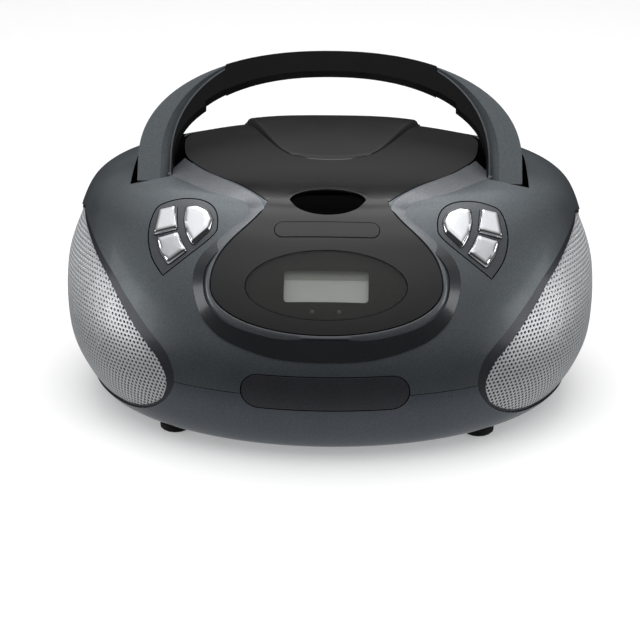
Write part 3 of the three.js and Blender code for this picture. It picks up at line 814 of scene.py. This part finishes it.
def flange_inner():
    """The inner edge of the dark rim round a grille: broad along the front, thin elsewhere."""
    outline = grille_outline()
    count = len(outline)
    made = []
    for i, p in enumerate(outline):
        along = (outline[(i + 1) % count] - outline[i - 1]).normalized()
        share = max(0.0, min(1.0, (p.y - 28) / 34)) - max(0.0, p.y - 66) / 90
        if p.x > GRILLE_MIDDLE:
            share = 0.2
        made.append(p + Vector((-along.y, along.x)) * (1.0 + 3.6 * share))
    return made


def add_grille_flanges():
    """The dark recessed rim between the cabinet's edge and the perforated sheet."""
    for hand, word in SIDES:
        rails = [[], [], [], []]
        for edge, inner in zip(offset(grille_outline(), 0.1), flange_inner()):
            row = ((edge, -2.6), (edge, -0.7), (inner, -0.9), (inner, -2.6))
            for rail, (point, rise) in zip(rails, row):
                rail.append(on_side(point.x, point.y, rise, hand))
        made = band(f"grille_rim_{word}", rails, flange_paint)
        finished(made, "cabinet", angle=35)


# The raised lip round the pod and along the lid: outer edge, from the pod's foot to the handle.
LIP_OUTER = [(0, -31.2), (17, -30.9), (31, -29.4), (49.3, -23.7), (60.7, -17), (68.4, -7.6),
             (70.7, 3), (69.9, 14), (65.5, 26.2), (56.4, 35.6), (48.6, 42.5), (45.4, 48.5),
             (48.6, 53.6), (60.1, 59), (71.6, 64), (85.4, 73), (97.6, 81.5)]
LIP_ALONG_LID = [(36.3, 50), (44, 59.5), (55.5, 68.5), (66, 75.5), (78, 84), (88, 95)]


def lip_inner(count):
    """The lip's inner edge: the pod's own outline, and then the lid's."""
    pod = [p for p in pod_half() if p.y < 47]
    path = spline([tuple(p) for p in pod] + LIP_ALONG_LID, 4)
    return even(path, count)


def even(path, count):
    """The same curve as count points at even distances."""
    lengths = [0.0]
    for a, b in zip(path, path[1:]):
        lengths.append(lengths[-1] + (b - a).length)
    made, k = [], 0
    for i in range(count):
        want = lengths[-1] * i / (count - 1)
        while k < len(path) - 2 and lengths[k + 1] < want:
            k += 1
        span = lengths[k + 1] - lengths[k]
        made.append(path[k].lerp(path[k + 1], (want - lengths[k]) / span if span else 0))
    return made


def nearest_on(path, point):
    """The closest point of a polyline."""
    best = None
    for a, b in zip(path, path[1:]):
        along = b - a
        share = max(0, min(1, (point - a).dot(along) / max(along.length_squared, 1e-9)))
        spot = a + along * share
        if best is None or (spot - point).length < (best - point).length:
            best = spot
    return best


def add_row(rails, hand, row):
    """One more point on the sloping front for each rail, from (point, rise) pairs."""
    for rail, (point, rise) in zip(rails, row):
        rail.append(on_slope(hand * point.x, point.y, rise))


def add_lip():
    """A raised rim whose crest follows the pod and the lid, and whose outside slopes away."""
    for hand, word in SIDES:
        outer_path, inner = spline(LIP_OUTER, 8), lip_inner(150)
        rails = [[] for _ in range(6)]
        for i, p in enumerate(inner):
            o = nearest_on(outer_path, p)
            share = i / (len(inner) - 1)
            rise = 2.6 - 1.2 * min(1, share * 1.6)
            across = (o - p).normalized()
            crest = p + across * min(1.4, (o - p).length * 0.4)
            add_row(rails, hand, ((p, -2.4), (p, rise - 0.5), (p + across * 0.35, rise),
                                  (crest, rise), (o, 0.9 * (1 - share) ** 2),
                                  (o + across * 0.4, -1.6)))
        # The lip takes the lighter paint: painted highlight.
        made = band(f"pod_lip_{word}", rails, lip_painted_highlight, closed=False)
        finished(made, "cabinet", angle=40)


BEVEL_OUTER = [(0, -43), (19, -42), (36.5, -38.4), (56.7, -30), (67.9, -20.5), (73.8, -10.2),
               (77.0, 3), (76.4, 13), (72.5, 21), (66.5, 27), (60, 31)]
BEVEL_INNER = [(0, -31), (17, -30.7), (31, -29.2), (49.3, -23.5), (60.5, -16.8), (68.2, -7.4),
               (70.5, 3), (69.4, 12), (65.5, 18.4), (61, 23.5), (57, 28)]


def add_bevel():
    """The polished slope that runs round the lower half of the pod, outside its lip."""
    right_outer, right_inner = spline(BEVEL_OUTER, 8), spline(BEVEL_INNER, 8)
    rails = [[] for _ in range(4)]
    order = [(-1, i) for i in reversed(range(1, len(right_outer)))]
    order += [(1, i) for i in range(len(right_outer))]
    for hand, i in order:
        o, p = right_outer[i], right_inner[i]
        fade = min(1.0, (len(right_outer) - 1 - i) / 14)
        across = (o - p).normalized()
        add_row(rails, hand, ((p, -1.5), (p, 0.35 + 2.0 * fade), (o, 0.12 + 0.35 * fade),
                              (o + across * 0.3, -1.2)))
    made = band("pod_bevel", rails, bevel_gloss, closed=False)
    finished(made, "cabinet", angle=40)


def add_front_insert():
    """The long rounded panel set into the front, with a shadow gap all round."""
    tool = block("insert_edge", slot_outline(48.3, 35.6, 55.8), place_front, 80, 130)
    made = between_skins("insert_panel", -0.15, 3, insert_paint, [tool])
    finished(made, "cabinet", ["front_insert"], angle=35, bevel=0.7, segments=3)


# ---- Front pod ------------------------------------------------------------------------------

def window_outline(grow=0.0):
    return ellipse(46.3 + grow, 20.4 + grow, 0.8, 128)


def badge_outline(grow=0.0):
    return slot_outline(30.3 + grow, 34.4 - 4.7 - grow, 34.4 + 4.7 + grow)


def rounded_box(half_width, low, high, radius, steps=6):
    corners = ((half_width - radius, low + radius, -90), (half_width - radius, high - radius, 0),
               (radius - half_width, high - radius, 90), (radius - half_width, low + radius, 180))
    return [Vector((x + radius * math.cos(math.radians(start + 90 * i / steps)),
                    y + radius * math.sin(math.radians(start + 90 * i / steps))))
            for x, y, start in corners for i in range(steps + 1)]


def slope_tool(outline, low=-32, high=24):
    return block("slope_tool", outline, place_slope, low, high)


LAMPS = (-7.7, 7.7)


def add_pod():
    front_half = big_box("front_half", -10, 260, -200, -42.3)
    pod = block("pod_tool", pod_outline(), place_slope, -26, 40, -0.45)
    panel = between_skins("pod_panel", -1.2, 1.6, pod_black, [pod, front_half])
    combine(panel, [slope_tool(window_outline(0.45)), slope_tool(badge_outline(0.35)),
                    notch_tool(0.4)])
    finished(panel, "cabinet", ["front_panel"], angle=35, bevel=0.3)

    seat = between_skins("pod_backing", 1.8, 2.6, deep_black, [slope_tool(pod_outline(60), -26, 40)])
    combine(seat, [slope_tool(rounded_box(24.3, -8.4, 10.6, 2.2))])
    for x in LAMPS:
        combine(seat, [slope_tool(ellipse(1.7, 1.7, -13.7, 32, x))])
    finished(seat, "cabinet")

    scoop = block("finger_scoop", ellipse(23.4, 11.9, NOTCH[2], 64), place_plan, 130, 132.2)
    finished(scoop, "cabinet")

    plate = between_skins("badge_plate", -1.5, 0.8, pod_black, [slope_tool(badge_outline(-0.1))])
    finished(plate, "cabinet", ["name_plate"], angle=35, bevel=0.35)
    window = between_skins("display_lens", -1.35, 0.8, window_smoke, [slope_tool(window_outline(0))])
    finished(window, "cabinet", ["display_window"], angle=35, bevel=0.35)
    add_screen()


def add_screen():
    glass = prism("lcd_face", rounded_box(25.5, -9.6, 11.8, 2), place_slope,
                  [(-6, 0), (-4.6, 0), (-4.3, -0.3)], lcd_glass)
    finished(glass, "cabinet", ["lcd_module"])
    # A darker strip across the top of the screen: painted shadow, standing for the shade that the
    # window's recess casts on it.
    painted_shadow = block("lcd_shadow_strip", rounded_box(25.2, 5.6, 11.5, 0.4), place_slope, -4.5, -4.15,
                   look=lcd_painted_shadow)
    finished(painted_shadow, "cabinet")
    for x, word in zip(LAMPS, ("power_lamp", "stereo_lamp")):
        lamp = prism(f"{word}_lens", ellipse(1.55, 1.55, -13.7, 32, x), place_slope,
                     [(-7, 0), (-3.2, 0), (-2.7, -0.35), (-2.45, -0.9)], lamp_lens)
        finished(lamp, "cabinet", [word])


# ---- Buttons --------------------------------------------------------------------------------

BUTTONS = {
    "shield": [(78, 27.4), (81.8, 34.2), (83.9, 43), (83.4, 52.4), (76.5, 52.9), (69.6, 48.9),
               (66.8, 42.6), (68.4, 36)],
    "upper": [(102, 35.9), (99.4, 52.2), (89, 53.6), (88.4, 44), (87.6, 38.3)],
    "lower": [(92.4, 16.8), (97.4, 25), (100, 33.9), (87.4, 36.4), (84.6, 29.6), (81.4, 24.2)],
}


def rounded(outline, radius, steps=5):
    """The outline with each corner turned into a short curve."""
    made = []
    for i, corner in enumerate(outline):
        before, after = outline[i - 1], outline[(i + 1) % len(outline)]
        a = corner + (before - corner).normalized() * min(radius, (before - corner).length * 0.45)
        b = corner + (after - corner).normalized() * min(radius, (after - corner).length * 0.45)
        for k in range(steps + 1):
            t = k / steps
            made.append(a * (1 - t) ** 2 + corner * 2 * t * (1 - t) + b * t * t)
    return made


def slope_step(middle, step):
    """The way across the skin from one side of a point to the other."""
    after, before = middle + step, middle - step
    return Vector(on_slope(after.x, after.y)) - Vector(on_slope(before.x, before.y))


def add_buttons():
    for hand, word in SIDES:
        def sided(points):
            outline = [Vector((x * hand, y)) for x, y in points]
            return outline if hand > 0 else outline[::-1]

        island = sided([tuple(p) for p in island_outline()])
        bezel = between_skins(f"control_bezel_{word}", 0.1, 2.2, island_paint,
                              [slope_tool(offset(island, -0.35))])
        for points in BUTTONS.values():
            combine(bezel, [slope_tool(offset(rounded(sided(points), 1.6), 0.55))])
        finished(bezel, "cabinet", [f"button_bezel_{word}"], angle=35, bevel=0.25)
        for key, points in BUTTONS.items():
            outline = rounded(sided(points), 1.6)
            middle = sum(outline, Vector((0, 0))) / len(outline)
            foot = Vector(on_slope(*middle))
            _, normal = drape(place_slope(*middle, 0), -OUT_OF_SLOPE)
            right = slope_step(middle, Vector((4, 0)))
            up = slope_step(middle, Vector((0, 4)))
            rings = []
            for share, rise in ((1.03, -2.8), (1.03, 0.3), (1.01, 0.75), (0.875, 2.0),
                                (0.85, 2.16), (0.6, 2.22), (0.3, 2.25), (0.05, 2.26)):
                rings.append([tuple(foot + right / 8 * (p - middle).x * share
                                    + up / 8 * (p - middle).y * share + normal * rise)
                              for p in outline])
            cap = loft(f"key_{word}_{key}", rings, chrome_plate)
            node = f"button_{word}_{key}"
            finished(cap, node, [node], angle=38)


# ---- Disc lid -------------------------------------------------------------------------------

def patch(name, shape, across, along, look, drop=-0.8):
    """A raised sheet on the skin. shape(u, v) gives x, y and rise, for u and v from 0 to 1."""
    vertices, faces = [], []
    for k in range(along + 1):
        for i in range(across + 1):
            x, y, rise = shape(i / across, k / along)
            edge = i in (0, across) or k in (0, along)
            vertices.append(on_top(x, y, drop if edge else rise))
    row = across + 1
    for k in range(along):
        faces += [(k * row + i, k * row + i + 1, (k + 1) * row + i + 1, (k + 1) * row + i)
                  for i in range(across)]
    made = mesh_object(name, vertices, faces, look)
    outwards(made)
    if sum(p.normal.z for p in made.data.polygons) < 0:
        made.data.flip_normals()
    return made


def curve_at(points, share):
    """The point a given share of the way along a list of curve points."""
    place = share * (len(points) - 1)
    low = min(int(place), len(points) - 2)
    return points[low].lerp(points[low + 1], place - low)


# Right edge of the raised tongue, from the lid's rear rim to the end of its smile.
TONGUE_EDGE = [(57, 78), (50, 63), (42.5, 45), (36, 31), (30.5, 21.5), (23.4, 12.8), (12, 8),
               (0, 6.5)]


def tongue_shape():
    """Rows run from the rear rim to the front; the last row is the smile itself."""
    smile = spline(TONGUE_EDGE[5:], 8)
    side = spline(TONGUE_EDGE[:6], 8)

    def shape(u, v):
        across = 2 * u - 1
        point = curve_at(side, v)
        curve = curve_at(smile, 1 - abs(across))
        depth = (side[-1].y - curve.y) * v ** 3
        x = point.x * across
        wall = min(1.0, (1 - abs(across)) * point.x / (1.2 + 3.4 * (1 - v)))
        foot = min(1.0, (1 - v) / 0.10)
        rear = min(1.0, v / 0.03)
        height = (0.5 + 3.2 * (1 - v) ** 1.2) * (3 * wall ** 2 - 2 * wall ** 3) * foot * rear
        return x, point.y - depth, max(0.02, height)
    return shape


def add_lid():
    lid_tool = block("lid_tool", lid_outline(), place_plan, 100, 175, -0.35)
    lid = between_skins("lid_shell", 0, 2.2, lid_black, [lid_tool])
    combine(lid, [notch_tool(0.2)])
    finished(lid, "lid", ["cd_lid"], angle=35, bevel=0.3)
    tongue = patch("lid_tongue", tongue_shape(), 72, 64, lid_black)
    finished(tongue, "lid", angle=50)
    add_lid_brow()
    add_lid_fittings()


def add_lid_brow():
    """A soft raised eyebrow over the finger notch."""
    rails = [[] for _ in range(4)]
    for i in range(41):
        angle = math.radians(12 + 156 * i / 40)
        swell = math.sin(math.radians(180 * i / 40))
        for rail, (width, height, rise) in zip(rails, ((22.1, 10.6, -1.2), (22.3, 10.9, 0.75 * swell),
                                                       (23.4, 12.4, 0.9 * swell),
                                                       (28, 16.5 + 1.5 * swell, -0.25))):
            rail.append(on_top(width * math.cos(angle), -42.6 + height * math.sin(angle), rise))
    made = band("lid_brow", rails, lid_black, closed=False)
    finished(made, "lid", angle=60)


def add_lid_fittings():
    """The sprung disc clamp under the lid, and the lid's hinge arms."""
    clamp = turned("clamp_puck", [(0.01, 0), (11, 0), (13, 1.2), (13, 3), (9, 3.4), (5.2, 3.6),
                                  (5, 9.4), (0.01, 9.4)], (0, 22, 132.8), frame_black)
    finished(clamp, "lid", ["disc_clamp"], angle=35)
    for hand, word in SIDES:
        arm = [Vector(p) for p in ((78.1, 142.5), (78.1, 138), (78.6, 136.2), (80.5, 135.5),
                                   (82.4, 136.2), (83, 138), (82.2, 142.5))]
        lever = block(f"lid_arm_{word}", arm, place_side, hand * 43, hand * 56, look=frame_black)
        finished(lever, "lid", angle=35)


def turned(name, profile, centre, look, steps=56):
    """A solid of revolution about Z: profile points are (radius, height), from its foot up."""
    rings = []
    for radius, height in profile:
        ring = []
        for i in range(steps):
            angle = i / steps * 2 * math.pi
            spoke = Vector((radius * math.cos(angle), radius * math.sin(angle), height))
            ring.append(tuple(Vector(centre) + spoke))
        rings.append(ring)
    return loft(name, rings, look)


# ---- Handle ---------------------------------------------------------------------------------

COVER_END = 64


def cover_region(grow, depth, edge):
    """Where the painted covers are: outside an edge curve, above the seam, clear of the grip."""
    half, rise, roundness = ARCH[edge]
    made = block("cover_region", arch_outline(125, 76, 2.2, -2.5 - grow), on_handle, -depth, 5,
                 look=cabinet_paint)
    inside = block("cover_inside", arch_outline(half - grow, rise - grow, roundness), on_handle,
                   -95, 15, look=cabinet_paint)
    return combine(made, [inside, handle_block(COVER_END - grow, -100, 120, -100, 20)])


def add_handle():
    core = handle_solid("handle_core", 0, ARCH["outer"][0], frame_black)
    combine(core, [cover_region(0.3, 9.3, "lip")])
    finished(core, "handle", ["handle_frame"], angle=35, bevel=0.5)

    grip = handle_solid("grip_sleeve", 0.5, ARCH["outer"][0] + 0.6, grip_black)
    combine(grip, [handle_block(COVER_END, 40, 110, -40, 20)], "INTERSECT")
    finished(grip, "handle", ["handle_grip"], angle=40, bevel=1.6, segments=4)

    for hand, word in SIDES:
        half = handle_solid(f"arm_cover_{word}", 0, ARCH["outer"][0], cabinet_paint)
        combine(half, [cover_region(0, 9, "crease")], "INTERSECT")
        combine(half, [handle_block(100, -100, 120, -60, 20, centre=hand * 100)], "INTERSECT")
        finished(half, "handle", [f"handle_cover_{word}"], angle=35, bevel=0.7,
                 segments=3)
        add_cover_bevel(hand, word)


def arch_height(x, edge):
    """The height of one of the arch's curves at a place across it."""
    half, rise, roundness = ARCH[edge]
    return SPRING + rise * (1 - min(1, abs(x) / half) ** roundness) ** (1 / roundness)


def add_cover_bevel(hand, word):
    """The painted inner slope of an arm, which narrows towards the grip, and its thin lip."""
    steps = 60
    crease, lip = [], []
    for points, edge in ((crease, "crease"), (lip, "lip")):
        half = ARCH[edge][0]
        dense = [Vector((half, -1.5)), Vector((half, 6))]
        for i in range(201):
            x = COVER_END + 0.4 + (half - COVER_END - 0.4) * math.cos(math.pi / 2 * i / 200)
            dense.append(Vector((x, min(arch_height(x, edge), arch_height(x, "outer") - 0.6))))
        points.extend(even(dense, steps))
    rails = [[] for _ in range(6)]
    for i, (c, e) in enumerate(zip(crease, lip)):
        share = i / (steps - 1)
        inward = (e - c).normalized()
        sink = 2.8 * (1 - share) + 0.4
        thin = e - inward * min(1.1, (e - c).length * 0.4)
        rows = ((c - inward * 0.6, -1.4), (c, 0.02), (thin, -sink), (thin + inward * 0.2,
                0.4 - sink), (e, 0.4 - sink), (e, -sink - 3))
        for rail, (point, out) in zip(rails, rows):
            rail.append(on_handle(hand * point.x, point.y, out))
    made = band(f"arm_bevel_{word}", rails, cabinet_paint, closed=False)
    finished(made, "handle", angle=35)


# ---- Perforated grilles ---------------------------------------------------------------------

PITCH = 2.7
HOLE_SHARE = 0.64         # hole width as a share of the pitch
BULGE = 3.4               # how far the middle of the sheet swells out
SHEET_INSET = 1.5         # how far the sheet lies under the cabinet's own surface


def edge_tree():
    """The sheet's edge as a search tree, for finding how far a point is from it."""
    edge = flange_inner()
    tree = KDTree(len(edge))
    for i, p in enumerate(edge):
        tree.insert((p.x, p.y, 0), i)
    tree.balance()
    return tree


_edge = edge_tree()


def sheet_bulge(y, height):
    """How far the sheet swells out at a place: nothing at its edge, most in its middle."""
    reach = min(1.0, max(0.0, _edge.find((y, height, 0))[2] - 3) / 30)
    return BULGE * math.sin(reach * math.pi / 2)


def surface_at(along, height, hand, inset):
    """A point on the cabinet's side: so far round it from the back, and so high."""
    index = 0
    while index < len(_profile) - 2 and _profile[index + 1][0] > height:
        index += 1
    a, b = _profile[index], _profile[index + 1]
    share = (a[0] - height) / (a[0] - b[0])
    section = [a[k] * (1 - share) + b[k] * share for k in range(4)]
    angle = angle_at(along)
    _, y, _ = section_point((height, *section[1:]), angle)
    x, y, _ = section_point((height, *section[1:]), angle, inset - sheet_bulge(y, height))
    return (hand * x, y, height)


def angle_table(steps=720):
    """Angles round the middle section, from the back, against the distance along it."""
    section = (MIDDLE_HEIGHT, 160, -107, 112.5)
    angles = [math.pi * (0.5 - i / steps) for i in range(steps + 1)]
    distances = [0.0]
    for a, b in zip(angles, angles[1:]):
        p, q = Vector(section_point(section, a)), Vector(section_point(section, b))
        distances.append(distances[-1] + (p - q).length)
    return angles, distances


_angles, _distances = angle_table()


def angle_at(along):
    i = max(1, min(len(_distances) - 1, bisect(_distances, along)))
    span = _distances[i] - _distances[i - 1]
    share = (along - _distances[i - 1]) / span if span else 0
    return _angles[i - 1] * (1 - share) + _angles[i] * share


def inside(outline, x, y):
    hit = False
    for i, p in enumerate(outline):
        q = outline[i - 1]
        if (p.y > y) != (q.y > y) and x < (q.x - p.x) * (y - p.y) / (q.y - p.y) + p.x:
            hit = not hit
    return hit


def add_grilles():
    outline = offset(flange_inner(), 1.1)
    rise = PITCH * math.sqrt(3) / 2
    edge = PITCH / math.sqrt(3)
    radius = PITCH * HOLE_SHARE / 2
    for hand, word in SIDES:
        shape = bmesh.new()
        for row in range(int(8 / rise), int(126 / rise)):
            height = row * rise
            for column in range(int(_distances[-1] / PITCH)):
                along = (column + 0.5 * (row % 2)) * PITCH
                centre = surface_at(along, height, 1, SHEET_INSET)
                if not inside(outline, centre[1], height):
                    continue
                outer, rim, deep = [], [], []
                for k in range(12):
                    angle = math.radians(30 * k + 30)
                    reach = edge if k % 2 == 0 else PITCH / 2
                    c, s = math.cos(angle), math.sin(angle)
                    for ring, size, inset in ((outer, reach, SHEET_INSET),
                                              (rim, radius, SHEET_INSET),
                                              (deep, radius, SHEET_INSET + 0.7)):
                        point = surface_at(along + size * c, height + size * s, hand, inset)
                        ring.append(shape.verts.new(to_frame(point)))
                for k in range(12):
                    n = (k + 1) % 12
                    shape.faces.new((outer[k], outer[n], rim[n], rim[k]))
                    shape.faces.new((rim[k], rim[n], deep[n], deep[k]))
        bmesh.ops.remove_doubles(shape, verts=shape.verts, dist=0.00004)
        bmesh.ops.recalc_face_normals(shape, faces=shape.faces)
        made = shape_object(f"grille_sheet_{word}", shape, steel_sheet)
        finished(made, "cabinet", [f"grille_{word}"], angle=40)


# ---- Every other part -----------------------------------------------------------------------

SLOT_LOOK = {
    "cabinet_paint": cabinet_paint, "perforated_steel": steel_sheet, "black_plastic": pod_black,
    "gloss_black": lid_black, "soft_grip": grip_black, "foot_rubber": rubber,
    "smoked_window": window_smoke, "screen_glass": lcd_glass, "circuit_board": board_green,
    "chrome_plate": chrome_plate, "paper_cone": paper_black, "bright_steel": bare_steel,
    "dark_steel": dark_steel,
}


def add_plain_parts():
    """Each part not built above, with its own shape, softened edges and a real finish."""
    slots = {part["node"]: part["material_slot"] for part in frame["record"]["subparts"]}
    for node, source in sorted(frame["nodes"].items()):
        if source.hide_render:
            continue
        shape = bmesh.new()
        shape.from_mesh(source.data)
        bmesh.ops.remove_doubles(shape, verts=shape.verts, dist=0.000002)
        bmesh.ops.dissolve_limit(shape, angle_limit=0.01, verts=shape.verts, edges=shape.edges)
        made = shape_object(f"{node}_form", shape, SLOT_LOOK[slots[node]])
        finished(made, source["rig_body"], [node], angle=35, bevel=0.3)


add_camera()
add_floor()
add_lights()
add_upper_cabinet()
add_slot_pits()
add_lower_cabinet()
add_battery_bay()
add_grille_flanges()
add_lip()
add_bevel()
add_front_insert()
add_pod()
add_buttons()
add_lid()
add_handle()
add_grilles()
add_plain_parts()
